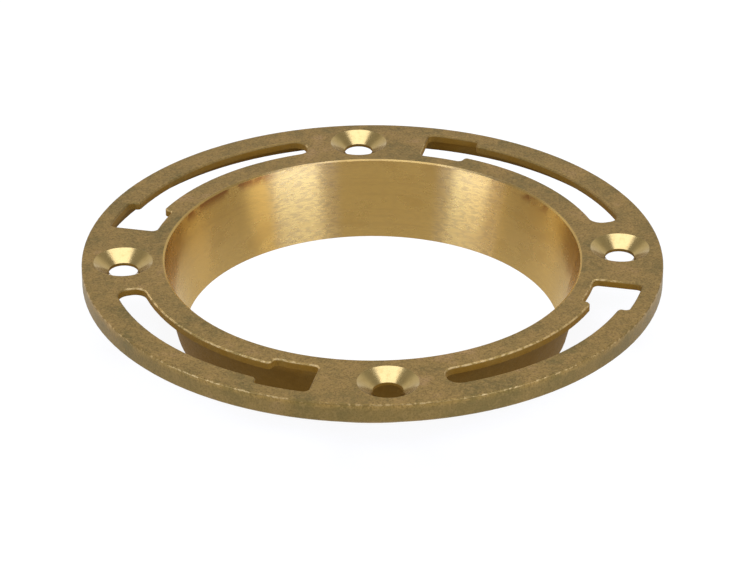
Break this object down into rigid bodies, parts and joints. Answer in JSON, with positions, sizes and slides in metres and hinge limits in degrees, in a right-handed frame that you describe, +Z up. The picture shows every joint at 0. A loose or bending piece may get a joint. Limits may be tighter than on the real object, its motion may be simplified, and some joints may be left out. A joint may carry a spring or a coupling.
{
  "type": "closet flange",
  "caption": "Flat brass floor ring with curved keyhole slots and countersunk screw holes, and a short tapered hub that reaches down into a soil pipe.",
  "frame": {"origin": "on the pipe's axis, in the seat plane where the foot of the rim meets the floor", "axes": "+Z up along the pipe's axis, away from the hub; +X through one screw hole"},
  "size_m": [0.1778, 0.1778, 0.0247],
  "materials": {
    "brass_casting": "as cast, with a turned bore"
  },
  "bodies": {
    "root": {"closet_flange": "brass_casting"}
  },
  "joints": []
}
